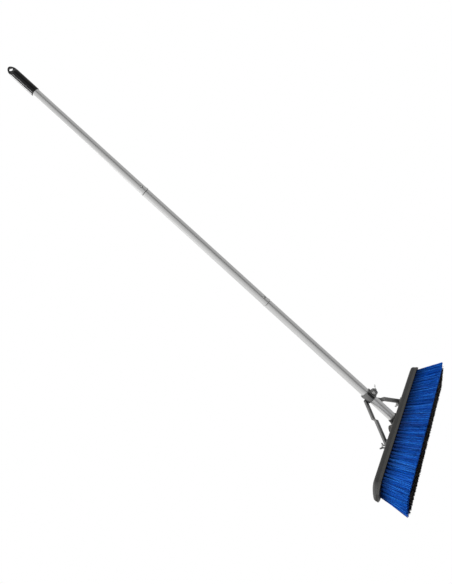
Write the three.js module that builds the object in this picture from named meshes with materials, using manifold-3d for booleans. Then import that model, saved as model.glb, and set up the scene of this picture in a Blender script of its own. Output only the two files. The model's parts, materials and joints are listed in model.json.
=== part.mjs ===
// A braced push brush: a long bristle block, a three-piece pole that leans out of one of
// the block's two threaded sockets, and a stamped steel brace clamped round the pole.
// Millimetres. +X runs along the block and +Z points up. The bristle tips lie on z = 0,
// with the origin at the middle of the bristle field.
// The pole has a frame of its own: its Z is the pole's axis, its X is the block's X, and
// its -Y faces the front, on the underside of the leaning pole.
import * as THREE from 'three';
import Module from 'manifold-3d';
import { mergeVertices } from 'three/addons/utils/BufferGeometryUtils.js';

const wasm = await Module();
wasm.setup();

// Driving dimensions.
const GAP = 0.3;

const BRISTLE_LENGTH = 76;
const BLOCK_LENGTH = 610;
const BLOCK_STRAIGHT = 530;
const BLOCK_WIDTH = 60;
const BLOCK_EDGE_HEIGHT = 18;
const BLOCK_CROWN = 4;
const NOSE_DROP = 0.62;
const NOSE_TURN = 66;

const POLE_LEAN = 38.6;
const POLE_RADIUS = 12.7;
const POLE_WALL = 1.2;
const NECK_RADIUS = 11.2;
const NECK_LENGTH = 80;
const BELL_RADIUS = 13.6;
const LOWER_TUBE_START = 12.3;
const LOWER_JOINT = 488;
const UPPER_JOINT = 980;
const POLE_END = 1542;

const SOCKET_OFFSET = 16;
const SOCKET_SETBACK = 7.7;
const SOCKET_RADIUS = 10.3;
const SOCKET_DEPTH = 11.5;
const BOSS_RADIUS = 17;
const BOSS_TOP = 2.8;
const COLLAR_RADIUS = 15.5;

const BUTTON_RADIUS = 4;
const BUTTON_FROM_RIM = 18;
const BUTTON_TOP = 15.5;
const BUTTON_BASE = 9.6;
const LOWER_BUTTON_TURN = 20;
const UPPER_BUTTON_TURN = 34;

const GRIP_RADIUS = 14.5;
const GRIP_START = 1449;
const GRIP_END = 1569;
const HANG_HOLE_RADIUS = 6.2;
const GRIP_TAB_TURN = 42;

const CLAMP_HEIGHT = 97.8;
const CLAMP_WIDTH = 27;
const JAW_RADIUS = 14.4;
const STEEL = 1.6;
const CLAMP_BOLT_OUT = 22.6;
const JAW_SPLIT = 1.5;
const JAW_SLOT_TURN = 42;
const ARM_REACH = 105;
const ARM_WIDTH = 11;
const ARM_TOP_OUT = 14;
const WEB_REACH = 15.5;
const WEB_HEIGHT = 15;
const ARM_DEPTH = 6;
const ARM_FRONT = 13;
const ARM_JOG = 7;
const ARM_JOG_AT = 50;
const FOOT_BOLT_Y = 12;
const BOLT_RADIUS = 3;
const BOLT_HOLE_RADIUS = 3.4;
const HEX_RADIUS = 5.5;
const WASHER = 1.2;
const WASHER_RADIUS = 6;
const EAR_REACH = 28.6;
const HOOK_HEIGHT = 7;
const CLAMP_NUT_TURN = 40;
const LEFT_FOOT_NUT_TURN = 0;
const RIGHT_FOOT_NUT_TURN = 75;

// Heights that follow from them.
const BLOCK_BOTTOM = BRISTLE_LENGTH;
const BLOCK_EDGE = BLOCK_BOTTOM + BLOCK_EDGE_HEIGHT;
const PAD_TOP = BLOCK_EDGE + BLOCK_CROWN + GAP;
const FOOT_BOTTOM = PAD_TOP + GAP;
const FOOT_TOP = FOOT_BOTTOM + STEEL;
const CLAMP_BOTTOM = CLAMP_HEIGHT - CLAMP_WIDTH / 2;
const EAR_FACE = JAW_SPLIT + STEEL;
const ROUND = 32;

// Materials.
function finish(color, roughness, metalness) {
  return new THREE.MeshStandardMaterial({ color, roughness, metalness });
}
const BLOCK_PLASTIC = finish(0x35342f, 0.7, 0);
const BLUE_BRISTLE = finish(0x0d3c93, 0.6, 0);
const BLACK_BRISTLE = finish(0x15151a, 0.7, 0);
const ALUMINIUM = finish(0xb9bab9, 0.38, 1);
const NYLON = finish(0x2a2a2b, 0.6, 0);
const VINYL = finish(0x0c0c0d, 0.2, 0);
const BRACE_STEEL = finish(0x6b6b6a, 0.45, 1);
const ZINC = finish(0xb4b6b5, 0.35, 1);
const SPRING_STEEL = finish(0x8d9093, 0.4, 1);
const LINER_RUBBER = finish(0x1a1a1b, 0.85, 0);

// Joins and cuts.
function solid(geometry) {
  const bare = geometry.index ? geometry.clone() : mergeVertices(geometry);
  bare.deleteAttribute('normal');
  bare.deleteAttribute('uv');
  const merged = mergeVertices(bare, 1e-4);
  const vertProperties = new Float32Array(merged.attributes.position.array);
  const triVerts = new Uint32Array(merged.index.array);
  return new wasm.Manifold(new wasm.Mesh({ numProp: 3, vertProperties, triVerts }));
}

function toGeometry(manifold) {
  const { vertProperties, triVerts, numProp } = manifold.getMesh();
  const geometry = new THREE.BufferGeometry();
  geometry.setAttribute('position', new THREE.BufferAttribute(vertProperties, numProp));
  geometry.setIndex(new THREE.BufferAttribute(triVerts, 1));
  geometry.computeVertexNormals();
  return geometry;
}

function join(first, ...rest) {
  return toGeometry(rest.reduce((sum, piece) => sum.add(solid(piece)), solid(first)));
}

function cut(body, ...tools) {
  return toGeometry(tools.reduce((left, tool) => left.subtract(solid(tool)), solid(body)));
}

// Basic shapes. Each stands along Z unless it says otherwise.
function turned(profile, segments = ROUND) {
  const points = profile.map(([radius, z]) => new THREE.Vector2(radius, z));
  return new THREE.LatheGeometry(points, segments).rotateX(Math.PI / 2);
}

function rod(radius, start, end, segments = 32) {
  return turned([[0, start], [radius, start], [radius, end], [0, end]], segments);
}

function ring(inner, outer, start, end, segments = ROUND) {
  const profile = [[inner, start], [outer, start], [outer, end], [inner, end], [inner, start]];
  return turned(profile, segments);
}

function box([x0, y0, z0], [x1, y1, z1]) {
  const geometry = new THREE.BoxGeometry(x1 - x0, y1 - y0, z1 - z0);
  return geometry.translate((x0 + x1) / 2, (y0 + y1) / 2, (z0 + z1) / 2);
}

function slab(shape, start, end, curveSegments = 12) {
  const options = { depth: end - start, bevelEnabled: false, curveSegments };
  return new THREE.ExtrudeGeometry(shape, options).translate(0, 0, start);
}

function polygon(points) {
  return new THREE.Shape(points.map(([x, y]) => new THREE.Vector2(x, y)));
}

// A closed body through a row of rings that all have the same number of points.
function loft(rings) {
  const count = rings[0].length;
  const positions = rings.flat().flatMap((point) => point.toArray());
  const indices = [];
  for (let ringIndex = 0; ringIndex < rings.length - 1; ringIndex += 1) {
    for (let i = 0; i < count; i += 1) {
      const a = ringIndex * count + i;
      const b = ringIndex * count + ((i + 1) % count);
      indices.push(a, b, a + count, b, b + count, a + count);
    }
  }
  const addCap = (ringPoints, start, flip) => {
    const centre = new THREE.Vector3();
    ringPoints.forEach((point) => centre.add(point));
    centre.divideScalar(count);
    const middle = positions.length / 3;
    positions.push(...centre.toArray());
    for (let i = 0; i < count; i += 1) {
      const a = start + i;
      const b = start + ((i + 1) % count);
      indices.push(...(flip ? [middle, b, a] : [middle, a, b]));
    }
  };
  addCap(rings[0], 0, true);
  addCap(rings[rings.length - 1], (rings.length - 1) * count, false);
  const geometry = new THREE.BufferGeometry();
  geometry.setAttribute('position', new THREE.Float32BufferAttribute(positions, 3));
  geometry.setIndex(indices);
  geometry.computeVertexNormals();
  return geometry;
}

// Scene graph.
const brush = new THREE.Group();
const pole = new THREE.Group();
pole.position.set(SOCKET_OFFSET, -SOCKET_SETBACK, BLOCK_EDGE);
pole.rotation.x = THREE.MathUtils.degToRad(POLE_LEAN);
pole.updateMatrixWorld(true);
brush.add(pole);

function place(parent, name, geometry, material) {
  const mesh = new THREE.Mesh(geometry, material);
  mesh.name = name;
  parent.add(mesh);
  return mesh;
}

// Block.
function blockRing(x) {
  const taper = Math.max(0, Math.abs(x) - BLOCK_STRAIGHT / 2) / ((BLOCK_LENGTH - BLOCK_STRAIGHT) / 2);
  const half = (BLOCK_WIDTH / 2) * Math.cos(THREE.MathUtils.degToRad(NOSE_TURN * taper));
  const height = BLOCK_EDGE_HEIGHT * (1 - NOSE_DROP * taper * taper);
  const crown = BLOCK_CROWN * (1 - taper);
  const side = [
    [half, 0],
    [half, height * 0.32],
    [half - 1.2, height * 0.39],
    [half - 2, height * 0.86],
    [half - 2.6, height * 0.95],
    [half - 4, height],
  ];
  const flat = half - 4;
  const top = [0.66, 0.33, 0].map((part) => [flat * part, height + crown * (1 - part * part)]);
  const right = [...side, ...top];
  const left = right.slice(0, -1).reverse().map(([y, z]) => [-y, z]);
  return [...right, ...left].map(([y, z]) => new THREE.Vector3(x, y, BLOCK_BOTTOM + z));
}

function blockBody() {
  const nose = (BLOCK_LENGTH - BLOCK_STRAIGHT) / 2;
  const parts = [1, 0.97, 0.9, 0.8, 0.66, 0.5, 0.33, 0.16, 0];
  const xs = parts.map((part) => BLOCK_STRAIGHT / 2 + nose * part);
  const stations = [...xs.map((x) => -x), ...xs.reverse()];
  return loft(stations.map(blockRing));
}

// A socket leans to -Y on the right of the block and to +Y on the left.
function inSocket(geometry, side) {
  geometry.rotateX(THREE.MathUtils.degToRad(side * POLE_LEAN));
  return geometry.translate(side * SOCKET_OFFSET, -side * SOCKET_SETBACK, BLOCK_EDGE);
}

function footBoltX(side) {
  return SOCKET_OFFSET + side * ARM_REACH;
}

function bracePad(side) {
  const x = footBoltX(side);
  return box([x - 12, -8, BLOCK_EDGE - 2], [x + 12, 22, PAD_TOP]);
}

function block() {
  const bosses = [1, -1].map((side) => inSocket(rod(BOSS_RADIUS, -8, BOSS_TOP), side));
  const body = join(blockBody(), ...bosses, bracePad(1), bracePad(-1));
  const bores = [1, -1].flatMap((side) => {
    const thread = rod(SOCKET_RADIUS, -SOCKET_DEPTH, 40);
    const spotFace = rod(COLLAR_RADIUS + 0.4, BOSS_TOP, 40);
    return [thread, spotFace].map((tool) => inSocket(tool, side));
  });
  const bolts = [1, -1].flatMap((side) => {
    const hole = rod(BOLT_HOLE_RADIUS, BLOCK_BOTTOM - 5, PAD_TOP + 5);
    const pocket = rod(8.6, BLOCK_BOTTOM - 5, BLOCK_BOTTOM + 4);
    return [hole, pocket].map((tool) => tool.translate(footBoltX(side), FOOT_BOLT_Y, 0));
  });
  return cut(body, ...bores, ...bolts);
}

place(brush, 'block', block(), BLOCK_PLASTIC);

// Bristles: plain closed solids that splay from the block to the tips.
function bristles(rootOutline, tipOutline) {
  const tips = tipOutline.map(([x, y, lift = 0]) => new THREE.Vector3(x, y, lift));
  const roots = rootOutline.map(([x, y]) => new THREE.Vector3(x, y, BLOCK_BOTTOM - GAP));
  return loft([tips, roots]);
}

const ROOT_X = 262;
const TIP_X = 298;
const END_LIFT = 12;

function sideRow(side) {
  const outline = (x, inner, outer) => {
    const [low, high] = side > 0 ? [inner, outer] : [-outer, -inner];
    return [[-x, low], [x, low], [x, high], [-x, high]];
  };
  return bristles(outline(ROOT_X, 14.3, 28), outline(TIP_X, 22, 43));
}

function coreRows() {
  const outline = (x, y) => [[-x, -y], [x, -y], [x, y], [-x, y]];
  return bristles(outline(ROOT_X, 14), outline(TIP_X, 21.7));
}

function endRow(side) {
  const outline = (start, middle, end, wide, narrow, lift) => {
    const points = [
      [start, -wide, 0], [middle, -wide + 3, lift / 2], [end, -narrow, lift],
      [end, narrow, lift], [middle, wide - 3, lift / 2], [start, wide, 0],
    ];
    const placed = points.map(([x, y, z]) => [side * x, y, z]);
    return side > 0 ? placed : placed.reverse();
  };
  const root = outline(ROOT_X + GAP, 274, 286, 27, 10, 0);
  const tip = outline(TIP_X + GAP, 308, 318, 41, 17, END_LIFT);
  return bristles(root, tip);
}

place(brush, 'front_blue_bristles', sideRow(-1), BLUE_BRISTLE);
place(brush, 'back_blue_bristles', sideRow(1), BLUE_BRISTLE);
place(brush, 'left_end_bristles', endRow(-1), BLUE_BRISTLE);
place(brush, 'right_end_bristles', endRow(1), BLUE_BRISTLE);
place(brush, 'black_core_bristles', coreRows(), BLACK_BRISTLE);

// Pole.
function tube(start, joint, isLast) {
  const wall = POLE_WALL;
  const belled = start > LOWER_TUBE_START;
  const foot = belled
    ? [[BELL_RADIUS - wall, start], [BELL_RADIUS, start], [BELL_RADIUS, start + 5], [POLE_RADIUS, start + 9]]
    : [[POLE_RADIUS - wall, start], [POLE_RADIUS, start]];
  const outerHead = isLast
    ? [[POLE_RADIUS, joint], [POLE_RADIUS - wall, joint]]
    : [
      [POLE_RADIUS, joint - 2.5],
      [NECK_RADIUS, joint - 0.5],
      [NECK_RADIUS, joint + NECK_LENGTH],
      [NECK_RADIUS - wall, joint + NECK_LENGTH],
      [NECK_RADIUS - wall, joint - 0.5],
      [POLE_RADIUS - wall, joint - 2.5],
    ];
  const innerFoot = belled
    ? [[POLE_RADIUS - wall, start + 9], [BELL_RADIUS - wall, start + 5], [BELL_RADIUS - wall, start]]
    : [[POLE_RADIUS - wall, start]];
  return turned([...foot, ...outerHead, ...innerFoot]);
}

// Points a cylinder out of the pole, turned from the front towards -X.
function outwards(geometry, turn, z) {
  geometry.rotateX(Math.PI / 2);
  geometry.rotateZ(-THREE.MathUtils.degToRad(turn));
  return geometry.translate(0, 0, z);
}

function buttonHole(turn, joint) {
  return outwards(rod(BUTTON_RADIUS + GAP, 6, 20), turn, joint + BUTTON_FROM_RIM);
}

const lowerHole = () => buttonHole(LOWER_BUTTON_TURN, LOWER_JOINT);
const upperHole = () => buttonHole(UPPER_BUTTON_TURN, UPPER_JOINT);
const lowerTube = cut(tube(LOWER_TUBE_START, LOWER_JOINT, false), lowerHole());
const middleTube = cut(tube(LOWER_JOINT, UPPER_JOINT, false), lowerHole(), upperHole());
const upperTube = cut(tube(UPPER_JOINT, POLE_END, true), upperHole());
place(pole, 'lower_pole_tube', lowerTube, ALUMINIUM);
place(pole, 'middle_pole_tube', middleTube, ALUMINIUM);
place(pole, 'upper_pole_tube', upperTube, ALUMINIUM);

// The threaded tip: a screw that fits the socket, a collar and a plug in the tube.
function threadedTip() {
  const root = 8.8;
  const crest = SOCKET_RADIUS - 0.5;
  const pitch = 3.5;
  const bottom = 0.7 - SOCKET_DEPTH;
  const profile = [[0, bottom], [root, bottom]];
  for (let z = bottom + 0.5; z < BOSS_TOP - pitch; z += pitch) {
    profile.push([root, z], [crest, z + 0.9], [crest, z + 1.6], [root, z + 2.5]);
  }
  const collar = BOSS_TOP + GAP;
  const shoulder = LOWER_TUBE_START - GAP;
  const plug = POLE_RADIUS - POLE_WALL - GAP;
  profile.push([root, collar], [COLLAR_RADIUS - 0.5, collar], [COLLAR_RADIUS, collar + 0.5]);
  profile.push([COLLAR_RADIUS, shoulder - 1], [COLLAR_RADIUS - 1, shoulder]);
  profile.push([plug, shoulder], [plug, 42], [plug - 2, 45], [0, 45]);
  return turned(profile, 24);
}

place(pole, 'threaded_tip', threadedTip(), NYLON);

// Snap buttons, and the folded strip spring behind each one.
function snapButton(turn, joint) {
  const profile = [
    [0, 3], [1.6, 3], [1.6, BUTTON_BASE], [BUTTON_RADIUS, BUTTON_BASE],
    [BUTTON_RADIUS, BUTTON_TOP - 2], [BUTTON_RADIUS * 0.86, BUTTON_TOP - 0.9],
    [BUTTON_RADIUS * 0.5, BUTTON_TOP - 0.2], [0, BUTTON_TOP],
  ];
  return outwards(turned(profile, 28), turn, joint + BUTTON_FROM_RIM);
}

function buttonSpring(turn, joint) {
  const strip = 0.8;
  const front = 4.7;
  const back = -8.7;
  const start = -9;
  const bend = 40;
  const middle = (front + back) / 2;
  const radius = (front - back) / 2;
  const shape = new THREE.Shape();
  shape.moveTo(start, front);
  shape.lineTo(bend, front);
  shape.absarc(bend, middle, radius, Math.PI / 2, -Math.PI / 2, true);
  shape.lineTo(start, back);
  shape.lineTo(start, back + strip);
  shape.lineTo(bend, back + strip);
  shape.absarc(bend, middle, radius - strip, -Math.PI / 2, Math.PI / 2, false);
  shape.lineTo(start, front - strip);
  const ribbon = slab(shape, -4, 4, 10);
  const basis = new THREE.Matrix4().makeBasis(
    new THREE.Vector3(0, 1, 0),
    new THREE.Vector3(0, 0, 1),
    new THREE.Vector3(1, 0, 0),
  );
  const cutRibbon = cut(ribbon.applyMatrix4(basis), rod(2.3, 2, 8, 20));
  return outwards(cutRibbon, turn, joint + BUTTON_FROM_RIM);
}

place(pole, 'lower_snap_button', snapButton(LOWER_BUTTON_TURN, LOWER_JOINT), ZINC);
place(pole, 'lower_button_spring', buttonSpring(LOWER_BUTTON_TURN, LOWER_JOINT), SPRING_STEEL);
place(pole, 'upper_snap_button', snapButton(UPPER_BUTTON_TURN, UPPER_JOINT), ZINC);
place(pole, 'upper_button_spring', buttonSpring(UPPER_BUTTON_TURN, UPPER_JOINT), SPRING_STEEL);

// Grip: a thick sleeve that closes past the tube into a flat hanging tab.
function gripRing(z, wide, deep) {
  const points = [];
  for (let i = 0; i < ROUND; i += 1) {
    const angle = (2 * Math.PI * i) / ROUND;
    points.push(new THREE.Vector3(wide * Math.cos(angle), deep * Math.sin(angle), z));
  }
  return points;
}

function grip() {
  const round = GRIP_RADIUS;
  const rings = [
    gripRing(GRIP_START, round - 0.4, round - 0.4),
    gripRing(GRIP_START + 2, round, round),
    gripRing(POLE_END - 6, round, round),
    gripRing(POLE_END + 2, round, round * 0.86),
    gripRing(GRIP_END - 17, round * 0.97, round * 0.5),
    gripRing(GRIP_END - 10, round * 0.88, round * 0.34),
    gripRing(GRIP_END - 4, round * 0.68, round * 0.3),
    gripRing(GRIP_END - 1, round * 0.4, round * 0.22),
    gripRing(GRIP_END, round * 0.16, round * 0.1),
  ];
  const bore = rod(POLE_RADIUS + GAP, GRIP_START - 5, POLE_END + GAP, ROUND);
  const hole = rod(HANG_HOLE_RADIUS, -20, 20).rotateX(Math.PI / 2).translate(0, 0, GRIP_END - 12);
  return cut(loft(rings), bore, hole).rotateZ(-THREE.MathUtils.degToRad(GRIP_TAB_TURN));
}

place(pole, 'hand_grip', grip(), VINYL);

// Clamp liner: a rubber sleeve with ribs round it.
function clampLiner() {
  const inner = POLE_RADIUS + GAP;
  const rib = JAW_RADIUS - GAP;
  const groove = rib - 0.6;
  const pitch = 3.7;
  const ribs = 7;
  const profile = [[inner, 0]];
  for (let i = 0; i < ribs; i += 1) {
    const z = i * pitch;
    profile.push([rib, z], [rib, z + 1.6], [groove, z + 1.8], [groove, z + pitch - 0.2]);
  }
  profile.push([inner, ribs * pitch - 0.2], [inner, 0]);
  return turned(profile, 20).translate(0, 0, CLAMP_BOTTOM + 0.5);
}

place(pole, 'clamp_liner', clampLiner(), LINER_RUBBER);

// Brace: two mirrored stampings. Each is half of the clamp with its ears, a channel arm
// with a jog in it, and a foot that is bolted to the block. The right one is built here.
function ear() {
  const corner = 6;
  const half = 10;
  const shape = new THREE.Shape();
  shape.moveTo(-JAW_RADIUS, -half);
  shape.lineTo(corner - EAR_REACH, -half);
  shape.quadraticCurveTo(-EAR_REACH, -half, -EAR_REACH, corner - half);
  shape.lineTo(-EAR_REACH, half - corner);
  shape.quadraticCurveTo(-EAR_REACH, half, corner - EAR_REACH, half);
  shape.lineTo(-JAW_RADIUS, half);
  const plate = slab(shape, JAW_SPLIT, JAW_SPLIT + STEEL, 6);
  return plate.rotateX(Math.PI / 2).rotateZ(Math.PI / 2).translate(0, 0, CLAMP_HEIGHT);
}

function steppedOutline(front, back, from, to) {
  return polygon([
    [from, front], [ARM_JOG_AT, front], [ARM_JOG_AT + ARM_JOG, front - ARM_JOG],
    [to, front - ARM_JOG], [to, back - ARM_JOG], [ARM_JOG_AT + ARM_JOG, back - ARM_JOG],
    [ARM_JOG_AT, back], [from, back],
  ]);
}

function channelArm() {
  const top = new THREE.Vector3(ARM_TOP_OUT, 0, CLAMP_BOTTOM + 4);
  const foot = new THREE.Vector3(ARM_REACH - 3, 0, 2);
  const length = top.distanceTo(foot) + 12;
  const half = ARM_WIDTH / 2;
  const skin = STEEL * 0.8;
  const back = ARM_FRONT + ARM_DEPTH;
  const outer = slab(steppedOutline(ARM_FRONT, back, -10, length), -half, half);
  const hollow = slab(steppedOutline(ARM_FRONT + skin, back + 1, -11, length + 1), skin - half, half - skin);
  const along = foot.clone().sub(top).normalize();
  const across = new THREE.Vector3(0, 1, 0);
  const depth = along.clone().cross(across);
  const matrix = new THREE.Matrix4().makeBasis(along, across, depth).setPosition(top);
  return cut(outer, hollow).applyMatrix4(matrix);
}

// Turns a shape that is level with the block, measured from the socket, into the pole's frame.
function level(geometry) {
  return geometry.rotateX(-THREE.MathUtils.degToRad(POLE_LEAN));
}

function footPlate() {
  const half = 10;
  const y = FOOT_BOLT_Y + SOCKET_SETBACK;
  const shape = new THREE.Shape();
  shape.moveTo(ARM_REACH - half, y - 20);
  shape.lineTo(ARM_REACH + half, y - 20);
  shape.lineTo(ARM_REACH + half, y);
  shape.absarc(ARM_REACH, y, half, 0, Math.PI, false);
  return level(slab(shape, FOOT_BOTTOM - BLOCK_EDGE, FOOT_TOP - BLOCK_EDGE));
}

function footBore() {
  return level(rod(BOLT_HOLE_RADIUS, -20, 30).translate(ARM_REACH, FOOT_BOLT_Y + SOCKET_SETBACK, 0));
}

function braceArm() {
  const outer = JAW_RADIUS + STEEL;
  const high = CLAMP_BOTTOM + CLAMP_WIDTH;
  const web = box(
    [JAW_SPLIT, JAW_RADIUS + GAP, CLAMP_BOTTOM],
    [WEB_REACH, outer + GAP, CLAMP_BOTTOM + WEB_HEIGHT],
  );
  const jaw = ring(JAW_RADIUS, outer, CLAMP_BOTTOM, high);
  const stamping = join(jaw, web, ear(), channelArm());
  const otherHalf = box([-60, -60, CLAMP_BOTTOM - 10], [JAW_SPLIT, 60, high + 10]);
  const below = level(box([0, -90, -90], [ARM_REACH + 40, 90, FOOT_BOTTOM - BLOCK_EDGE]));
  const slot = box([-3.3, -20, CLAMP_HEIGHT - 11], [3.3, -13, CLAMP_HEIGHT + 11]);
  slot.rotateZ(THREE.MathUtils.degToRad(JAW_SLOT_TURN));
  const bore = rod(JAW_RADIUS, CLAMP_BOTTOM - 25, high + 25);
  const earHole = acrossClamp(rod(BOLT_HOLE_RADIUS, 0, 10));
  const trimmed = cut(stamping, otherHalf, below, slot, bore, earHole);
  return cut(join(trimmed, footPlate()), footBore());
}

// Behind the pole the two halves hook together: a tongue on the left one passes through
// a slotted ear on the right one and turns outwards.
const HOOK_ROOT = JAW_RADIUS + STEEL + 1.2;
const HOOK_TOP = CLAMP_HEIGHT + CLAMP_WIDTH / 2 - 2;
const HOOK_BOTTOM = HOOK_TOP - HOOK_HEIGHT;

function rightBraceArm() {
  const rearEar = box([JAW_SPLIT, JAW_RADIUS, HOOK_BOTTOM - 2], [EAR_FACE, HOOK_ROOT + 4, HOOK_TOP + 2]);
  const slot = box(
    [0, HOOK_ROOT - GAP, HOOK_BOTTOM - GAP],
    [EAR_FACE + 1, HOOK_ROOT + STEEL + GAP, HOOK_TOP + GAP],
  );
  const bore = rod(JAW_RADIUS, CLAMP_BOTTOM, HOOK_TOP + 5);
  return cut(join(braceArm(), rearEar), slot, bore);
}

function leftBraceArm() {
  const stem = box([-EAR_FACE, JAW_RADIUS + 0.3, HOOK_BOTTOM], [-JAW_SPLIT, HOOK_ROOT + STEEL, HOOK_TOP]);
  const hookEnd = EAR_FACE + GAP + STEEL;
  const tongue = box([-EAR_FACE, HOOK_ROOT, HOOK_BOTTOM], [hookEnd, HOOK_ROOT + STEEL, HOOK_TOP]);
  const lip = box([EAR_FACE + GAP, HOOK_ROOT, HOOK_BOTTOM], [hookEnd, HOOK_ROOT + 5, HOOK_TOP]);
  return join(mirrored(braceArm()), stem, tongue, lip);
}

function mirrored(geometry) {
  const copy = geometry.clone().scale(-1, 1, 1);
  const order = copy.index.array;
  for (let i = 0; i < order.length; i += 3) {
    [order[i], order[i + 1]] = [order[i + 1], order[i]];
  }
  copy.computeVertexNormals();
  return copy;
}

place(pole, 'right_brace_arm', rightBraceArm(), BRACE_STEEL);
place(pole, 'left_brace_arm', leftBraceArm(), BRACE_STEEL);

// Fasteners. Each is built along Z from its seat and then put on its bolt line.
function acrossClamp(geometry) {
  return geometry.rotateY(Math.PI / 2).translate(0, -CLAMP_BOLT_OUT, CLAMP_HEIGHT);
}

function onFootBolt(geometry, side) {
  return geometry.translate(footBoltX(side), FOOT_BOLT_Y, 0);
}

function hexBolt(headHeight, end) {
  const seat = -EAR_FACE - GAP;
  const head = rod(HEX_RADIUS, seat - headHeight, seat, 6);
  return join(head, rod(BOLT_RADIUS, seat - 1, end, 24));
}

function washer(seat) {
  return ring(BOLT_RADIUS + GAP, WASHER_RADIUS, seat, seat + WASHER, 32);
}

function wingNut(seat, turn) {
  const bore = BOLT_RADIUS + GAP;
  const hub = turned([[bore, 0], [5.6, 0], [5.4, 2.5], [4.5, 6.2], [bore, 6.2], [bore, 0]], 28);
  const outline = new THREE.Shape();
  outline.moveTo(3.9, 0.8);
  outline.lineTo(5.5, 0.8);
  outline.quadraticCurveTo(6.8, 3.8, 9.5, 5.6);
  outline.quadraticCurveTo(14.2, 8.2, 13.4, 10.8);
  outline.quadraticCurveTo(12.2, 12.8, 10, 11.2);
  outline.quadraticCurveTo(6.6, 9, 3.9, 5.6);
  const wing = slab(outline, -1.1, 1.1, 5).rotateX(Math.PI / 2);
  const otherWing = wing.clone().rotateZ(Math.PI);
  const nut = join(hub, wing, otherWing).rotateZ(THREE.MathUtils.degToRad(turn));
  return nut.translate(0, 0, seat);
}

const earSeat = EAR_FACE + GAP;
const clampNutSeat = earSeat + WASHER + GAP;
place(pole, 'clamp_bolt', acrossClamp(hexBolt(3.6, 14.5)), ZINC);
place(pole, 'clamp_washer', acrossClamp(washer(earSeat)), ZINC);
place(pole, 'clamp_wing_nut', acrossClamp(wingNut(clampNutSeat, CLAMP_NUT_TURN)), ZINC);

const footSeat = FOOT_TOP + GAP;
const footNutSeat = footSeat + WASHER + GAP;
for (const [side, word, turn] of [[-1, 'left', LEFT_FOOT_NUT_TURN], [1, 'right', RIGHT_FOOT_NUT_TURN]]) {
  const head = turned([
    [0, BLOCK_BOTTOM + GAP], [5, BLOCK_BOTTOM + GAP], [8, BLOCK_BOTTOM + 2],
    [8, BLOCK_BOTTOM + 4 - GAP], [BOLT_RADIUS, BLOCK_BOTTOM + 4 - GAP],
    [BOLT_RADIUS, footNutSeat + 8.5], [0, footNutSeat + 8.5],
  ], 32);
  place(brush, `${word}_foot_bolt`, onFootBolt(head, side), ZINC);
  place(brush, `${word}_foot_washer`, onFootBolt(washer(footSeat), side), ZINC);
  place(brush, `${word}_foot_wing_nut`, onFootBolt(wingNut(footNutSeat, turn), side), ZINC);
}

export default brush;
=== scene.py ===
import json
import math
import random

import bmesh
import bpy
from mathutils import Matrix, Vector


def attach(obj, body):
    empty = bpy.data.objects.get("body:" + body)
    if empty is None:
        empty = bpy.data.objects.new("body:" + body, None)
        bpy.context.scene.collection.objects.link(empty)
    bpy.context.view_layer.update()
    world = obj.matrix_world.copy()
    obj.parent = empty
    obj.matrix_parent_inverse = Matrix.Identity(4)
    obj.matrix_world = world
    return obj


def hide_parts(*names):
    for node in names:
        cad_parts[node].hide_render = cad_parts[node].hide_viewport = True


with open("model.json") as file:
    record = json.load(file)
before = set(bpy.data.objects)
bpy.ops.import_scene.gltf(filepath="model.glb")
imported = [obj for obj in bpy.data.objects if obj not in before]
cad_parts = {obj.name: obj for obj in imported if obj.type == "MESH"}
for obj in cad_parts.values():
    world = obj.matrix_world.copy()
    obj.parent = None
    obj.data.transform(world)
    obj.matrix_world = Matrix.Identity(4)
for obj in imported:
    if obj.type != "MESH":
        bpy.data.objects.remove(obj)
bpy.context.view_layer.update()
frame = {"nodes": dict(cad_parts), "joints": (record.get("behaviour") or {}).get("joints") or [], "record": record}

scene = bpy.context.scene
MM = 0.001
GOLDEN = math.pi * (3 - math.sqrt(5))

joints = {joint["name"]: joint for joint in frame["joints"]}
mounts = {mount["name"]: mount for mount in frame["record"]["mounts"]}

# Pole frame, from the button's axis and the hanging hole.
HOLE_HEIGHT = 1557 * MM
press_axis = Vector(joints["lower_button_press"]["axis"])
POLE_LEAN = math.atan2(press_axis.z, press_axis.y)
POLE = (
    Matrix.Translation(Vector(mounts["hanging_hole"]["pos_m"]))
    @ Matrix.Rotation(POLE_LEAN, 4, "X")
    @ Matrix.Translation((0, 0, -HOLE_HEIGHT))
)

# Driving dimensions, in millimetres.
POLE_RADIUS = 12.7
POLE_WALL = 1.2
NECK_RADIUS = 11.2
NECK_LENGTH = 80
BELL_RADIUS = 13.6
LOWER_TUBE_START = 12.3
LOWER_JOINT = 488
UPPER_JOINT = 980
POLE_END = 1542
BUTTON_RADIUS = 4
BUTTON_FROM_RIM = 18
LOWER_BUTTON_TURN = 20
UPPER_BUTTON_TURN = 34
GRIP_RADIUS = 14.5
GRIP_START = 1449
GRIP_END = 1569
GRIP_TAB_TURN = 42
GRIP_NOSE = 24
GRIP_FLATTENING = 0.64
HANG_HOLE_RADIUS = 6.2
CLEARANCE = 0.3
CLAMP_HEIGHT = 97.8
CLAMP_WIDTH = 27
JAW_RADIUS = 14.4
BRISTLE_LENGTH = 75.7
ROOT_X = 262
TIP_X = 298
TUFT_PITCH = 15.07
TUFTS_EACH_WAY = 17
TUFT_ROOT_RADIUS = 3.3
END_LIFT = 12
SPLAY = TIP_X / ROOT_X
SWEEP = 6
BLUE_TRIM = 4

# The tufts at the right end reach out and rise further than the ones at the left end.
RISE_START = 244
RISE_LENGTH = 46
RIGHT_END_REACH = 8
LEFT_END_REACH = -2
RIGHT_END_RISE = 1.2
LEFT_END_RISE = 0.3

# Camera.
CAMERA_PLACE = Vector((-1.7506, -1.2979, -0.1625))
CAMERA_AIM = CAMERA_PLACE + Vector((0.8273, 0.3508, 0.4387))
CAMERA_ROLL = 83.05
CAMERA_LENS = 43.7
CAMERA_SHIFT = (0.0925, -0.1284)


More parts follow.
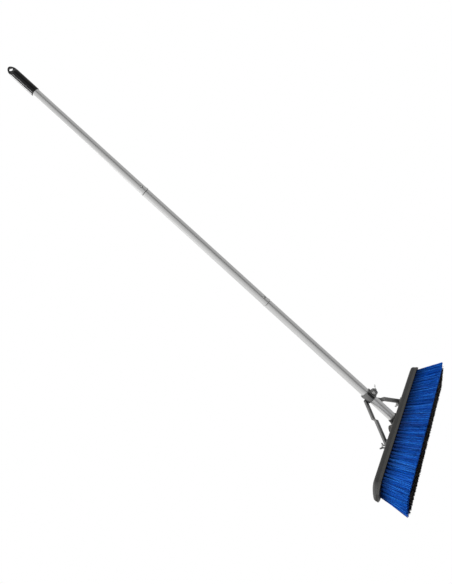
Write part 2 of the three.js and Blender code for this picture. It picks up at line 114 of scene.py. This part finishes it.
def add_camera():
    data = bpy.data.cameras.new("camera")
    data.sensor_width = 36
    data.lens = CAMERA_LENS
    data.shift_x, data.shift_y = CAMERA_SHIFT
    data.clip_end = 100
    camera = bpy.data.objects.new("camera", data)
    aim = (CAMERA_AIM - CAMERA_PLACE).to_track_quat("-Z", "Y").to_matrix().to_4x4()
    roll = Matrix.Rotation(math.radians(-CAMERA_ROLL), 4, "Z")
    camera.matrix_world = Matrix.Translation(CAMERA_PLACE) @ aim @ roll
    scene.collection.objects.link(camera)
    scene.camera = camera


add_camera()


# Material helpers.
class Shader:
    """A principled material and short ways to add nodes to it."""

    def __init__(self, name, roughness, metallic=0.0):
        self.material = bpy.data.materials.new(name)
        self.material.use_nodes = True
        self.nodes = self.material.node_tree.nodes
        self.links = self.material.node_tree.links
        self.surface = self.nodes["Principled BSDF"]
        self.surface.inputs["Roughness"].default_value = roughness
        self.surface.inputs["Metallic"].default_value = metallic

    def link(self, output, socket):
        self.links.new(output, socket)

    def place(self, scale, along_pole=False):
        coordinates = self.nodes.new("ShaderNodeTexCoord").outputs["Object"]
        if along_pole:
            turn = self.nodes.new("ShaderNodeMapping")
            turn.inputs["Rotation"].default_value = (-POLE_LEAN, 0, 0)
            self.link(coordinates, turn.inputs["Vector"])
            coordinates = turn.outputs["Vector"]
        mapping = self.nodes.new("ShaderNodeMapping")
        mapping.inputs["Scale"].default_value = scale
        self.link(coordinates, mapping.inputs["Vector"])
        return mapping.outputs["Vector"]

    def noise(self, vector, scale, detail=3.0, roughness=0.55):
        node = self.nodes.new("ShaderNodeTexNoise")
        node.inputs["Scale"].default_value = scale
        node.inputs["Detail"].default_value = detail
        node.inputs["Roughness"].default_value = roughness
        self.link(vector, node.inputs["Vector"])
        return node.outputs["Fac"]

    def ramp(self, value, *stops):
        node = self.nodes.new("ShaderNodeValToRGB")
        elements = node.color_ramp.elements
        while len(elements) < len(stops):
            elements.new(0.5)
        for element, (position, colour) in zip(elements, stops):
            element.position = position
            element.color = (*colour, 1)
        self.link(value, node.inputs["Fac"])
        return node.outputs["Color"]

    def blend(self, factor, first, second):
        node = self.nodes.new("ShaderNodeMix")
        node.data_type = "RGBA"
        for value, socket in ((factor, node.inputs[0]), (first, node.inputs[6]), (second, node.inputs[7])):
            if hasattr(value, "is_linked"):
                self.link(value, socket)
            else:
                socket.default_value = (*value, 1) if isinstance(value, tuple) else value
        return node.outputs[2]

    def colour(self, output):
        self.link(output, self.surface.inputs["Base Color"])

    def rough(self, value, low, high):
        node = self.nodes.new("ShaderNodeMapRange")
        node.inputs["To Min"].default_value = low
        node.inputs["To Max"].default_value = high
        self.link(value, node.inputs["Value"])
        self.link(node.outputs["Result"], self.surface.inputs["Roughness"])

    def bump(self, height, strength, distance):
        node = self.nodes.new("ShaderNodeBump")
        node.inputs["Strength"].default_value = strength
        node.inputs["Distance"].default_value = distance
        self.link(height, node.inputs["Height"])
        self.link(node.outputs["Normal"], self.surface.inputs["Normal"])

    def edges(self):
        return self.nodes.new("ShaderNodeNewGeometry").outputs["Pointiness"]


def block_plastic():
    shader = Shader("block_plastic", 0.5)
    vector = shader.place((1, 1, 1))
    cloud = shader.noise(vector, 38, 5)
    body = shader.ramp(cloud, (0.3, (0.012, 0.0118, 0.011)), (0.7, (0.024, 0.0235, 0.0215)))
    # Convex edges painted lighter: edge wear, and a painted highlight along the edges.
    edge_wear_and_highlight = shader.ramp(shader.edges(), (0.5, (0, 0, 0)), (0.58, (1, 1, 1)))
    shader.colour(shader.blend(edge_wear_and_highlight, body, (0.075, 0.072, 0.064)))
    grain = shader.noise(vector, 1500, 2)
    shader.rough(cloud, 0.42, 0.6)
    shader.bump(grain, 0.35, 0.0004)
    return shader.material


def bristle(name, dark, middle, light, root):
    """The strand attribute's red is the strand's own shade, and its green runs from root to tip. Near the root the
    colour is darkened to the root colour, a painted shade.
    """
    shader = Shader(name, 0.55)
    shader.surface.inputs["Specular IOR Level"].default_value = 0.12
    strand = shader.nodes.new("ShaderNodeAttribute")
    strand.attribute_name = "strand"
    channels = shader.nodes.new("ShaderNodeSeparateColor")
    shader.link(strand.outputs["Color"], channels.inputs["Color"])
    shade = shader.ramp(channels.outputs["Red"], (0.0, dark), (0.55, middle), (1.0, light))
    # Painted shade: each strand darkens to the root colour over its first part, next to the block.
    painted_root_shade = shader.ramp(channels.outputs["Green"], (0.0, (0.9, 0.9, 0.9)), (0.4, (0, 0, 0)))
    streaks = shader.noise(shader.place((1, 1, 0.06)), 900, 3)
    streaked = shader.blend(shader.ramp(streaks, (0.42, (0, 0, 0)), (0.62, (0.7, 0.7, 0.7))), shade, dark)
    shader.colour(shader.blend(painted_root_shade, streaked, root))
    shader.bump(streaks, 0.3, 0.0003)
    return shader.material


def aluminium():
    shader = Shader("aluminium", 0.34, 1.0)
    along = shader.place((1, 1, 0.012), True)
    brushed = shader.noise(along, 900, 4)
    cloud = shader.noise(shader.place((1, 1, 0.2), True), 24, 3)
    tone = shader.ramp(brushed, (0.3, (0.72, 0.72, 0.715)), (0.7, (0.8, 0.8, 0.795)))
    dulled = shader.ramp(cloud, (0.4, (0, 0, 0)), (0.75, (0.2, 0.2, 0.2)))
    shader.colour(shader.blend(dulled, tone, (0.6, 0.6, 0.6)))
    shader.rough(brushed, 0.28, 0.4)
    return shader.material


def vinyl():
    shader = Shader("vinyl", 0.12)
    shader.surface.inputs["Specular IOR Level"].default_value = 0.3
    cloud = shader.noise(shader.place((1, 1, 0.3), True), 60, 4)
    shader.colour(shader.ramp(cloud, (0.3, (0.004, 0.004, 0.0045)), (0.8, (0.012, 0.012, 0.013))))
    shader.rough(cloud, 0.05, 0.1)
    return shader.material


def steel(name, dark, light, worn_and_highlit_edge, low, high, scale):
    """Plated steel with clouds of the given scale, between a low and a high roughness."""
    shader = Shader(name, 0.4, 1.0)
    vector = shader.place((1, 1, 1))
    cloud = shader.noise(vector, scale, 6, 0.65)
    tone = shader.ramp(cloud, (0.3, dark), (0.7, light))
    # Convex edges painted towards the lighter edge colour: edge wear, and a painted highlight along the edges.
    edge_wear_and_highlight = shader.ramp(shader.edges(), (0.505, (0, 0, 0)), (0.6, (1, 1, 1)))
    shader.colour(shader.blend(edge_wear_and_highlight, tone, worn_and_highlit_edge))
    shader.rough(cloud, low, high)
    shader.bump(shader.noise(vector, 1100, 3), 0.18, 0.0003)
    return shader.material


def moulded(name, dark, light, roughness):
    shader = Shader(name, roughness)
    vector = shader.place((1, 1, 1))
    shader.colour(shader.ramp(shader.noise(vector, 90, 4), (0.35, dark), (0.7, light)))
    shader.bump(shader.noise(vector, 1300, 2), 0.3, 0.0003)
    return shader.material


MATERIALS = {
    "block_plastic": block_plastic(),
    # Each bristle's root colour is the painted shade at the strands' roots.
    "blue_bristle": bristle(
        "blue_bristle", dark=(0.001, 0.035, 0.22), middle=(0.002, 0.13, 0.7),
        light=(0.03, 0.28, 0.98), root=(0.0005, 0.006, 0.035),
    ),
    "black_bristle": bristle(
        "black_bristle", dark=(0.003, 0.003, 0.004), middle=(0.012, 0.011, 0.012),
        light=(0.12, 0.1, 0.085), root=(0.001, 0.001, 0.002),
    ),
    "aluminium": aluminium(),
    "vinyl": vinyl(),
    "brace_steel": steel(
        "brace_steel", dark=(0.12, 0.12, 0.117), light=(0.21, 0.21, 0.206), worn_and_highlit_edge=(0.34, 0.34, 0.335),
        low=0.4, high=0.58, scale=150,
    ),
    "zinc": steel(
        "zinc", dark=(0.2, 0.2, 0.196), light=(0.32, 0.32, 0.315), worn_and_highlit_edge=(0.5, 0.5, 0.49),
        low=0.28, high=0.44, scale=220,
    ),
    "spring_steel": steel(
        "spring_steel", dark=(0.3, 0.3, 0.31), light=(0.42, 0.42, 0.43), worn_and_highlit_edge=(0.6, 0.6, 0.6),
        low=0.3, high=0.45, scale=300,
    ),
    "nylon": moulded("nylon", (0.008, 0.008, 0.008), (0.018, 0.018, 0.018), roughness=0.5),
    "liner_rubber": moulded("liner_rubber", (0.006, 0.006, 0.006), (0.016, 0.016, 0.015), roughness=0.8),
}


# Mesh helpers.
def smooth(mesh, angle):
    mesh.shade_smooth()
    mesh.set_sharp_from_angle(angle=math.radians(angle))


def add_piece(name, mesh, slot, body, *nodes):
    piece = bpy.data.objects.new(name, mesh)
    scene.collection.objects.link(piece)
    mesh.materials.clear()
    mesh.materials.append(MATERIALS[slot])
    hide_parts(*nodes)
    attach(piece, body)


def refined(node, width, angle=32):
    """A copy of a CAD mesh with its flat faces rejoined and its sharp edges rounded."""
    mesh = frame["nodes"][node].data.copy()
    work = bmesh.new()
    work.from_mesh(mesh)
    bmesh.ops.remove_doubles(work, verts=work.verts, dist=0.02 * MM)
    limit = math.radians(0.8)
    bmesh.ops.dissolve_limit(work, angle_limit=limit, verts=work.verts, edges=work.edges)
    hard = [
        edge for edge in work.edges
        if len(edge.link_faces) == 2 and edge.calc_face_angle(0) > math.radians(angle)
    ]
    bmesh.ops.bevel(
        work, geom=hard, offset=width * MM, segments=2, profile=0.6, affect="EDGES", clamp_overlap=True
    )
    bmesh.ops.recalc_face_normals(work, faces=work.faces)
    work.to_mesh(mesh)
    work.free()
    smooth(mesh, angle)
    return mesh


def lofted(rings):
    """A closed body through rings of points that all have the same count, with flat ends."""
    count = len(rings[0])
    vertices = [point for ring in rings for point in ring]
    faces = []
    for start in range(0, (len(rings) - 1) * count, count):
        for i in range(count):
            j = (i + 1) % count
            faces.append((start + i, start + j, start + count + j, start + count + i))
    faces.append(tuple(reversed(range(count))))
    last = (len(rings) - 1) * count
    faces.append(tuple(range(last, last + count)))
    mesh = bpy.data.meshes.new("loft")
    mesh.from_pydata(vertices, [], faces)
    return mesh


def turned(profile, segments=96):
    """A body turned about Z from (radius, height) in millimetres. The profile closes on itself."""
    vertices = []
    for i in range(segments):
        angle = 2 * math.pi * i / segments
        vertices += [
            (radius * MM * math.cos(angle), radius * MM * math.sin(angle), height * MM)
            for radius, height in profile
        ]
    count = len(profile)
    faces = []
    for i in range(segments):
        here, there = i * count, ((i + 1) % segments) * count
        for k in range(count):
            n = (k + 1) % count
            faces.append((here + k, there + k, there + n, here + n))
    mesh = bpy.data.meshes.new("turned")
    mesh.from_pydata(vertices, [], faces)
    work = bmesh.new()
    work.from_mesh(mesh)
    bmesh.ops.remove_doubles(work, verts=work.verts, dist=0.001 * MM)
    bmesh.ops.dissolve_degenerate(work, edges=work.edges, dist=0.001 * MM)
    bmesh.ops.recalc_face_normals(work, faces=work.faces)
    work.to_mesh(mesh)
    work.free()
    return mesh


def cut(mesh, *tools):
    """The mesh less each tool mesh."""
    for tool in tools:
        holder = bpy.data.objects.new("cut", mesh)
        cutter = bpy.data.objects.new("cutter", tool)
        scene.collection.objects.link(holder)
        scene.collection.objects.link(cutter)
        modifier = holder.modifiers.new("cut", "BOOLEAN")
        modifier.operation = "DIFFERENCE"
        modifier.solver = "EXACT"
        modifier.object = cutter
        bpy.context.view_layer.update()
        evaluated = holder.evaluated_get(bpy.context.evaluated_depsgraph_get())
        mesh = bpy.data.meshes.new_from_object(evaluated)
        bpy.data.objects.remove(holder)
        bpy.data.objects.remove(cutter)
    return mesh


def out_of_pole(mesh, turn, height):
    """Points a mesh that stands on Z out of the pole, turned from the front towards -X."""
    mesh.transform(
        Matrix.Translation((0, 0, height * MM))
        @ Matrix.Rotation(-math.radians(turn), 4, "Z")
        @ Matrix.Rotation(math.pi / 2, 4, "X")
    )
    return mesh


def on_pole(mesh, angle=30):
    mesh.transform(POLE)
    smooth(mesh, angle)
    return mesh


# Block.
add_piece("moulded_block", refined("block", 0.5, 8), "block_plastic", "root", "block")


# Bristles: tufts of strands that start together in a hole and flare to ragged tips.
class Brush:
    """Collects the strands of one bristle field."""

    def __init__(self, seed):
        self.random = random.Random(seed)
        self.vertices = []
        self.faces = []
        self.tints = []

    def strand(self, points, widths, tint):
        start = len(self.vertices)
        spin = self.random.uniform(0, math.pi)
        turns = [spin + k * 2 * math.pi / 3 for k in range(3)]
        corners = [Vector((math.cos(turn), math.sin(turn), 0)) for turn in turns]
        last = len(points) - 1
        for step, (point, width) in enumerate(zip(points, widths)):
            for corner in corners:
                self.vertices.append(point + corner * width)
                self.tints.append((tint, step / last, 0, 1))
        for step in range(last):
            base = start + 3 * step
            for k in range(3):
                n = (k + 1) % 3
                self.faces.append((base + k, base + 3 + k, base + 3 + n, base + n))
        self.faces.append((start, start + 1, start + 2))
        end = start + 3 * last
        self.faces.append((end + 2, end + 1, end))

    def core(self, root, tip, root_radius, tip_radius):
        """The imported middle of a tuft, which keeps daylight out."""
        count = 8
        start = len(self.vertices)
        steps = ((0, root_radius), (0.55, root_radius * 1.15), (0.93, tip_radius))
        for t, radius in steps:
            middle = root.lerp(tip, t)
            for k in range(count):
                angle = 2 * math.pi * k / count
                offset = Vector((math.cos(angle), math.sin(angle), 0)) * radius
                self.vertices.append(middle + offset)
                self.tints.append((0.4, t, 0, 1))
        for step in range(len(steps) - 1):
            base = start + count * step
            for k in range(count):
                n = (k + 1) % count
                self.faces.append((base + k, base + count + k, base + count + n, base + n))
        self.faces.append(tuple(start + k for k in range(count)))
        end = start + count * (len(steps) - 1)
        self.faces.append(tuple(end + k for k in reversed(range(count))))

    def tuft(self, root, tip, flare, count):
        """Strands spread evenly, as seeds in a sunflower, from the hole out to the flare's radius."""
        draw = self.random
        root, tip = Vector(root) * MM, Vector(tip) * MM
        root_radius = TUFT_ROOT_RADIUS * MM
        tip_radius = flare * MM
        lean = tip - root
        self.core(root, tip, root_radius * 0.85, tip_radius * 0.6)
        shade = draw.uniform(-0.12, 0.12)
        for i in range(count):
            reach = math.sqrt((i + 0.5) / count)
            angle = i * GOLDEN + draw.uniform(-0.3, 0.3)
            out = Vector((math.cos(angle), math.sin(angle), 0)) * reach
            start = root + out * root_radius
            end = tip + out * tip_radius
            end += Vector((draw.gauss(0, 1.3), draw.gauss(0, 1.3), 0)) * MM
            end.z = max(end.z + draw.uniform(-0.4, 1.6) * MM, 0.1 * MM)
            bend = root + lean * 0.52 + out * (root_radius + tip_radius * 0.3)
            points = []
            for t in (0, 0.36, 0.7, 1):
                points.append(start * (1 - t) ** 2 + bend * 2 * t * (1 - t) + end * t * t)
            fat = draw.uniform(0.55, 1.0) * MM
            widths = (0.5 * fat, 0.7 * fat, 0.95 * fat, 0.75 * fat)
            tint = min(1, max(0, draw.gauss(0.52 + shade, 0.3)))
            self.strand(points, widths, tint)

    def mesh(self, name):
        mesh = bpy.data.meshes.new(name)
        mesh.from_pydata(self.vertices, [], self.faces)
        colours = mesh.attributes.new("strand", "FLOAT_COLOR", "POINT")
        colours.data.foreach_set("color", [value for tint in self.tints for value in tint])
        work = bmesh.new()
        work.from_mesh(mesh)
        bmesh.ops.recalc_face_normals(work, faces=work.faces)
        work.to_mesh(mesh)
        work.free()
        return mesh


def long_row(brush, root_y, tip_y, trim, flare, count, stagger):
    """One row of tufts along the block, fanning out towards its ends and rising at the right one."""
    draw = brush.random
    tufts = 2 * TUFTS_EACH_WAY + (0 if stagger else 1)
    for i in range(tufts):
        x = (i - (tufts - 1) / 2) * TUFT_PITCH
        rise = END_LIFT * max(0, (x - RISE_START) / RISE_LENGTH) ** 2
        tip = (x * SPLAY + SWEEP + draw.gauss(0, 1.2), tip_y + draw.gauss(0, 0.8), trim + rise)
        brush.tuft((x, root_y, BRISTLE_LENGTH), tip, flare, count)


def add_side(side, name, node, seed):
    brush = Brush(seed)
    long_row(brush, side * 25, side * 37, BLUE_TRIM, flare=10.2, count=70, stagger=False)
    long_row(brush, side * 18, side * 30, BLUE_TRIM, flare=9, count=36, stagger=True)
    add_piece(name, brush.mesh(name), "blue_bristle", "root", node)


def add_core():
    brush = Brush(7)
    for root_y, tip_y, stagger in ((-10, -21, False), (0, 0, True), (10, 24, False)):
        long_row(brush, root_y, tip_y, 0, flare=12, count=54, stagger=stagger)
    name = "black_core_tufts"
    add_piece(name, brush.mesh(name), "black_bristle", "root", "black_core_bristles")


def add_end(side, reach, rise, name, node, seed):
    """Tufts round the block's end, which lean outwards so that their tips rise."""
    brush = Brush(seed)
    for ring, (roots, wide, tips, tufts) in enumerate(((18, 24, 10, 7), (8, 15, 2, 4))):
        for i in range(tufts):
            angle = math.pi * ((i + 0.5) / tufts - 0.5)
            lift = END_LIFT * math.cos(angle) * (1 - 0.5 * ring) * rise
            root_x = side * (ROOT_X + 1 + roots * math.cos(angle))
            tip_x = SWEEP + side * (TIP_X + tips * math.cos(angle) + reach)
            root_y = wide * math.sin(angle)
            root = (root_x, root_y, BRISTLE_LENGTH)
            brush.tuft(root, (tip_x, root_y * 1.45, BLUE_TRIM + lift), flare=8.4, count=56)
    add_piece(name, brush.mesh(name), "blue_bristle", "root", node)


add_side(-1, "front_blue_tufts", "front_blue_bristles", 3)
add_side(1, "back_blue_tufts", "back_blue_bristles", 5)
add_end(-1, LEFT_END_REACH, LEFT_END_RISE, "left_end_tufts", "left_end_bristles", 11)
add_end(1, RIGHT_END_REACH, RIGHT_END_RISE, "right_end_tufts", "right_end_bristles", 13)
add_core()


# Pole.
def button_hole(turn, joint):
    radius, inside, outside = BUTTON_RADIUS + CLEARANCE, 6, 20
    hole = turned([(0, inside), (radius, inside), (radius, outside), (0, outside)], 48)
    return out_of_pole(hole, turn, joint + BUTTON_FROM_RIM)


def tube_mesh(start, joint, is_last):
    """A tube from its foot, belled except on the lowest, to a swaged neck or a plain end."""
    wall = POLE_WALL
    edge = 0.35
    bell_end, taper_end = start + 4.4, start + 9.4
    shoulder_start, shoulder_end = joint - 2.5, joint - 0.5
    if start > LOWER_TUBE_START:
        foot = [
            (BELL_RADIUS - wall, start + edge), (BELL_RADIUS - wall + edge, start),
            (BELL_RADIUS - edge, start), (BELL_RADIUS, start + edge),
            (BELL_RADIUS, bell_end), (BELL_RADIUS - 0.15, bell_end + 0.8),
            (POLE_RADIUS + 0.15, taper_end - 1), (POLE_RADIUS, taper_end),
        ]
        inner = [(POLE_RADIUS - wall, taper_end - 0.4), (BELL_RADIUS - wall, bell_end + 0.6)]
    else:
        foot = [
            (POLE_RADIUS - wall, start + edge), (POLE_RADIUS - wall + edge, start),
            (POLE_RADIUS - edge, start), (POLE_RADIUS, start + edge),
        ]
        inner = []
    if is_last:
        head = [
            (POLE_RADIUS, joint - edge), (POLE_RADIUS - edge, joint),
            (POLE_RADIUS - wall + edge, joint), (POLE_RADIUS - wall, joint - edge),
        ]
    else:
        head = [
            (POLE_RADIUS, shoulder_start), (NECK_RADIUS, shoulder_end),
            (NECK_RADIUS, joint + NECK_LENGTH - edge), (NECK_RADIUS - edge, joint + NECK_LENGTH),
            (NECK_RADIUS - wall, joint + NECK_LENGTH),
            (NECK_RADIUS - wall, shoulder_end), (POLE_RADIUS - wall, shoulder_start),
        ]
    return turned([*foot, *head, *inner])


def add_tube(name, node, start, joint, is_last, *holes):
    mesh = cut(tube_mesh(start, joint, is_last), *[button_hole(*hole) for hole in holes])
    add_piece(name, on_pole(mesh), "aluminium", "root", node)


LOWER_HOLE = (LOWER_BUTTON_TURN, LOWER_JOINT)
UPPER_HOLE = (UPPER_BUTTON_TURN, UPPER_JOINT)
add_tube("lower_tube", "lower_pole_tube", LOWER_TUBE_START, LOWER_JOINT, False, LOWER_HOLE)
add_tube("middle_tube", "middle_pole_tube", LOWER_JOINT, UPPER_JOINT, False, LOWER_HOLE, UPPER_HOLE)
add_tube("upper_tube", "upper_pole_tube", UPPER_JOINT, POLE_END, True, UPPER_HOLE)
add_piece("tip_fitting", refined("threaded_tip", 0.3), "nylon", "root", "threaded_tip")


def add_button(name, node, turn, joint):
    """A thin shank, a wider head from its rim to its shoulder, and a domed crown."""
    radius, shank = BUTTON_RADIUS, 1.6
    foot, rim, shoulder, crown = 3, 9.6, 13, 2.5
    profile = [(0, foot), (shank, foot), (shank, rim)]
    profile += [(radius - 0.3, rim), (radius, rim + 0.3), (radius, shoulder)]
    steps = 8
    for i in range(1, steps + 1):
        angle = math.pi / 2 * i / steps
        profile.append((radius * math.cos(angle), shoulder + crown * math.sin(angle)))
    mesh = out_of_pole(turned(profile, 48), turn, joint + BUTTON_FROM_RIM)
    add_piece(name, on_pole(mesh), "zinc", node, node)


add_button("lower_button", "lower_snap_button", *LOWER_HOLE)
add_button("upper_button", "upper_snap_button", *UPPER_HOLE)

# The springs are inside the pole, so they keep the CAD's meshes.
for name in ("lower_button_spring", "upper_button_spring"):
    spring = frame["nodes"][name]
    spring.data.materials.clear()
    spring.data.materials.append(MATERIALS["spring_steel"])


# Grip.
def grip_ring(height, wide, deep, count=96):
    points = []
    for i in range(count):
        angle = 2 * math.pi * i / count
        points.append(Vector((wide * math.cos(angle), deep * math.sin(angle), height)) * MM)
    return points


def add_grip():
    """A rolled lip, a round body, and a flat tab beyond the pole's end with a hole in its nose."""
    body = GRIP_RADIUS
    rings = [
        grip_ring(GRIP_START, body - 0.9, body - 0.9),
        grip_ring(GRIP_START + 0.5, body - 0.3, body - 0.3),
        grip_ring(GRIP_START + 1.5, body + 0.1, body + 0.1),
        grip_ring(GRIP_START + 3, body + 0.1, body + 0.1),
        grip_ring(GRIP_START + 4.5, body - 0.15, body - 0.15),
    ]
    rings += [grip_ring(GRIP_START + 6 + 8 * i, body, body) for i in range(10)]
    steps = 18
    tab_start = POLE_END - 4
    tab_length = GRIP_END - tab_start
    for i in range(steps + 1):
        height = tab_start + tab_length * math.sin(i / steps * math.pi / 2)
        rounding = max(0, (height - GRIP_END + GRIP_NOSE) / (GRIP_NOSE + 0.1))
        wide = body * math.sqrt(1 - rounding ** 2)
        ease = min(1, 2 * (height - tab_start) / tab_length)
        deep = min(wide, body * (1 - GRIP_FLATTENING * ease * ease * (3 - 2 * ease)))
        rings.append(grip_ring(height, max(wide, 1.2), max(deep, 0.8)))
    bore_radius = POLE_RADIUS + CLEARANCE
    bore_end = POLE_END + CLEARANCE
    bore_start = GRIP_START - 5
    bore = turned([(0, bore_start), (bore_radius, bore_start), (bore_radius, bore_end), (0, bore_end)])
    hole = turned([(0, -20), (HANG_HOLE_RADIUS, -20), (HANG_HOLE_RADIUS, 20), (0, 20)], 64)
    hole.transform(Matrix.Translation((0, 0, HOLE_HEIGHT)) @ Matrix.Rotation(math.pi / 2, 4, "X"))
    mesh = cut(lofted(rings), bore, hole)
    mesh.transform(Matrix.Rotation(-math.radians(GRIP_TAB_TURN), 4, "Z"))
    add_piece("vinyl_grip", on_pole(mesh, 40), "vinyl", "root", "hand_grip")


add_grip()


# Clamp, brace and fasteners.
def add_liner():
    """A sleeve round the pole with ribs round its outside."""
    inner, rib = POLE_RADIUS + CLEARANCE, JAW_RADIUS - CLEARANCE
    groove, pitch, ribs = rib - 0.6, 2.05, 13
    profile = [(inner, 0)]
    for i in range(ribs):
        height = i * pitch
        profile += [
            (rib, height), (rib, height + 1.1),
            (groove, height + 1.3), (groove, height + pitch - 0.2),
        ]
    profile.append((inner, ribs * pitch - 0.2))
    mesh = turned(profile)
    mesh.transform(Matrix.Translation((0, 0, (CLAMP_HEIGHT - CLAMP_WIDTH / 2 + CLEARANCE) * MM)))
    add_piece("ribbed_liner", on_pole(mesh), "liner_rubber", "root", "clamp_liner")


add_liner()
add_piece("right_arm", refined("right_brace_arm", 0.45), "brace_steel", "root", "right_brace_arm")
add_piece("left_arm", refined("left_brace_arm", 0.45), "brace_steel", "root", "left_brace_arm")
FASTENERS = (
    "clamp_bolt", "clamp_washer",
    "left_foot_bolt", "right_foot_bolt", "left_foot_washer", "right_foot_washer",
)
for fastener in FASTENERS:
    add_piece(fastener + "_plated", refined(fastener, 0.25), "zinc", "root", fastener)
for nut in ("clamp_wing_nut", "left_foot_wing_nut", "right_foot_wing_nut"):
    add_piece(nut + "_cast", refined(nut, 0.55), "zinc", nut, nut)


# Stage: a pale floor that shows from above only, and soft lights.
def one_sided_floor():
    material = bpy.data.materials.new("floor")
    material.use_nodes = True
    nodes, links = material.node_tree.nodes, material.node_tree.links
    surface = nodes["Principled BSDF"]
    surface.inputs["Base Color"].default_value = (0.86, 0.86, 0.85, 1)
    surface.inputs["Roughness"].default_value = 0.9
    clear = nodes.new("ShaderNodeBsdfTransparent")
    mix = nodes.new("ShaderNodeMixShader")
    links.new(nodes.new("ShaderNodeNewGeometry").outputs["Backfacing"], mix.inputs["Fac"])
    links.new(surface.outputs["BSDF"], mix.inputs[1])
    links.new(clear.outputs["BSDF"], mix.inputs[2])
    links.new(mix.outputs["Shader"], nodes["Material Output"].inputs["Surface"])
    return material


def add_floor():
    half = 14
    corners = [(-half, -half, 0), (half, -half, 0), (half, half, 0), (-half, half, 0)]
    mesh = bpy.data.meshes.new("floor")
    mesh.from_pydata(corners, [], [(0, 1, 2, 3)])
    mesh.materials.append(one_sided_floor())
    floor = bpy.data.objects.new("floor", mesh)
    floor.visible_shadow = False
    floor.visible_diffuse = False
    floor.visible_glossy = False
    scene.collection.objects.link(floor)


def add_light(name, place, target, size, power, spared=()):
    """A rectangular light aimed at the target, which doesn't reach the pieces it spares."""
    data = bpy.data.lights.new(name, "AREA")
    data.shape = "RECTANGLE"
    data.size, data.size_y = size
    data.energy = power
    light = bpy.data.objects.new(name, data)
    light.location = place
    light.rotation_euler = (Vector(target) - Vector(place)).to_track_quat("-Z", "Y").to_euler()
    scene.collection.objects.link(light)
    if spared:
        left_out = bpy.data.collections.new("spared")
        light.light_linking.receiver_collection = left_out
        for piece in spared:
            left_out.objects.link(bpy.data.objects[piece])
        for member in left_out.collection_objects:
            member.light_linking.link_state = "EXCLUDE"


# Directions across the pole: towards the camera, and to the camera's lower left.
pole_axis = (POLE.to_3x3() @ Vector((0, 0, 1))).normalized()
to_camera = CAMERA_PLACE - CAMERA_AIM
to_camera = (to_camera - pole_axis * to_camera.dot(pole_axis)).normalized()
to_left = to_camera.cross(pole_axis)


# Brightness of the room all round the pole, from behind it by the camera's right, past the
# camera at 0.5, and back to behind it by the left. The dip is a black flag on a stand.
ROOM = (
    (0.0, 0.56), (0.25, 0.5), (0.34, 0.48), (0.395, 0.16), (0.43, 0.17),
    (0.475, 0.58), (0.6, 0.7), (0.7, 0.85), (1.0, 0.8),
)


def set_world(seen):
    """The room lights the object, and the camera sees a plain backdrop of the given brightness."""
    world = bpy.data.worlds.new("studio")
    world.use_nodes = True
    nodes, links = world.node_tree.nodes, world.node_tree.links
    direction = nodes.new("ShaderNodeTexCoord").outputs["Generated"]
    turn = nodes.new("ShaderNodeMath")
    turn.operation = "ARCTAN2"
    for socket, side in enumerate((to_left, to_camera)):
        along = nodes.new("ShaderNodeVectorMath")
        along.operation = "DOT_PRODUCT"
        along.inputs[1].default_value = side
        links.new(direction, along.inputs[0])
        links.new(along.outputs["Value"], turn.inputs[socket])
    part = nodes.new("ShaderNodeMapRange")
    part.inputs["From Min"].default_value = -math.pi
    part.inputs["From Max"].default_value = math.pi
    links.new(turn.outputs["Value"], part.inputs["Value"])
    room = nodes.new("ShaderNodeValToRGB")
    elements = room.color_ramp.elements
    while len(elements) < len(ROOM):
        elements.new(0.5)
    for element, (position, level) in zip(elements, ROOM):
        element.position = position
        element.color = (level, level, level, 1)
    links.new(part.outputs["Result"], room.inputs["Fac"])
    backdrop = nodes.new("ShaderNodeMix")
    backdrop.data_type = "RGBA"
    links.new(nodes.new("ShaderNodeLightPath").outputs["Is Camera Ray"], backdrop.inputs[0])
    links.new(room.outputs["Color"], backdrop.inputs[6])
    backdrop.inputs[7].default_value = (seen, seen, seen, 1)
    links.new(backdrop.outputs[2], nodes["Background"].inputs["Color"])
    scene.world = world


def add_strip(name, angle, height, away, size, power, for_grip):
    """A light beside the pole and parallel to it, turned from the camera's side towards its left."""
    turn = math.radians(angle)
    centre = POLE @ Vector((0, 0, height))
    out = to_camera * math.cos(turn) + to_left * math.sin(turn)
    data = bpy.data.lights.new(name, "AREA")
    data.shape = "RECTANGLE"
    data.size, data.size_y = size
    data.energy = power
    light = bpy.data.objects.new(name, data)
    light.matrix_world = Matrix.Translation(centre + out * away) @ Matrix(
        (out.cross(-pole_axis), pole_axis, out)
    ).transposed().to_4x4()
    light.visible_camera = False
    if for_grip:
        light.light_linking.receiver_collection = grip_only
    scene.collection.objects.link(light)


# The softbox in front spares these, because it would be a glare on them.
GLOSSY = ("lower_tube", "middle_tube", "upper_tube", "vinyl_grip")
grip_only = bpy.data.collections.new("grip_only")
grip_only.objects.link(bpy.data.objects["vinyl_grip"])
add_floor()
for name, angle, width, power in (("narrow_strip", 56, 0.05, 0.8), ("broad_strip", 112, 0.14, 1.9)):
    add_strip(name, angle, height=1.7, away=0.4, size=(width, 0.26), power=power, for_grip=True)
add_strip("pole_softbox", 104, height=1.3, away=1.0, size=(0.5, 1.0), power=0.5, for_grip=False)
add_light(
    "front_softbox", place=(-1.5, -2.6, 1.2), target=(0, 0, 0.05), size=(1.6, 1.2), power=48, spared=GLOSSY
)
add_light("overhead", place=(0.6, -0.4, 3.2), target=(0, -0.45, 0.6), size=(2.5, 2.5), power=14)
set_world(1.0)
scene.view_settings.view_transform = "Standard"
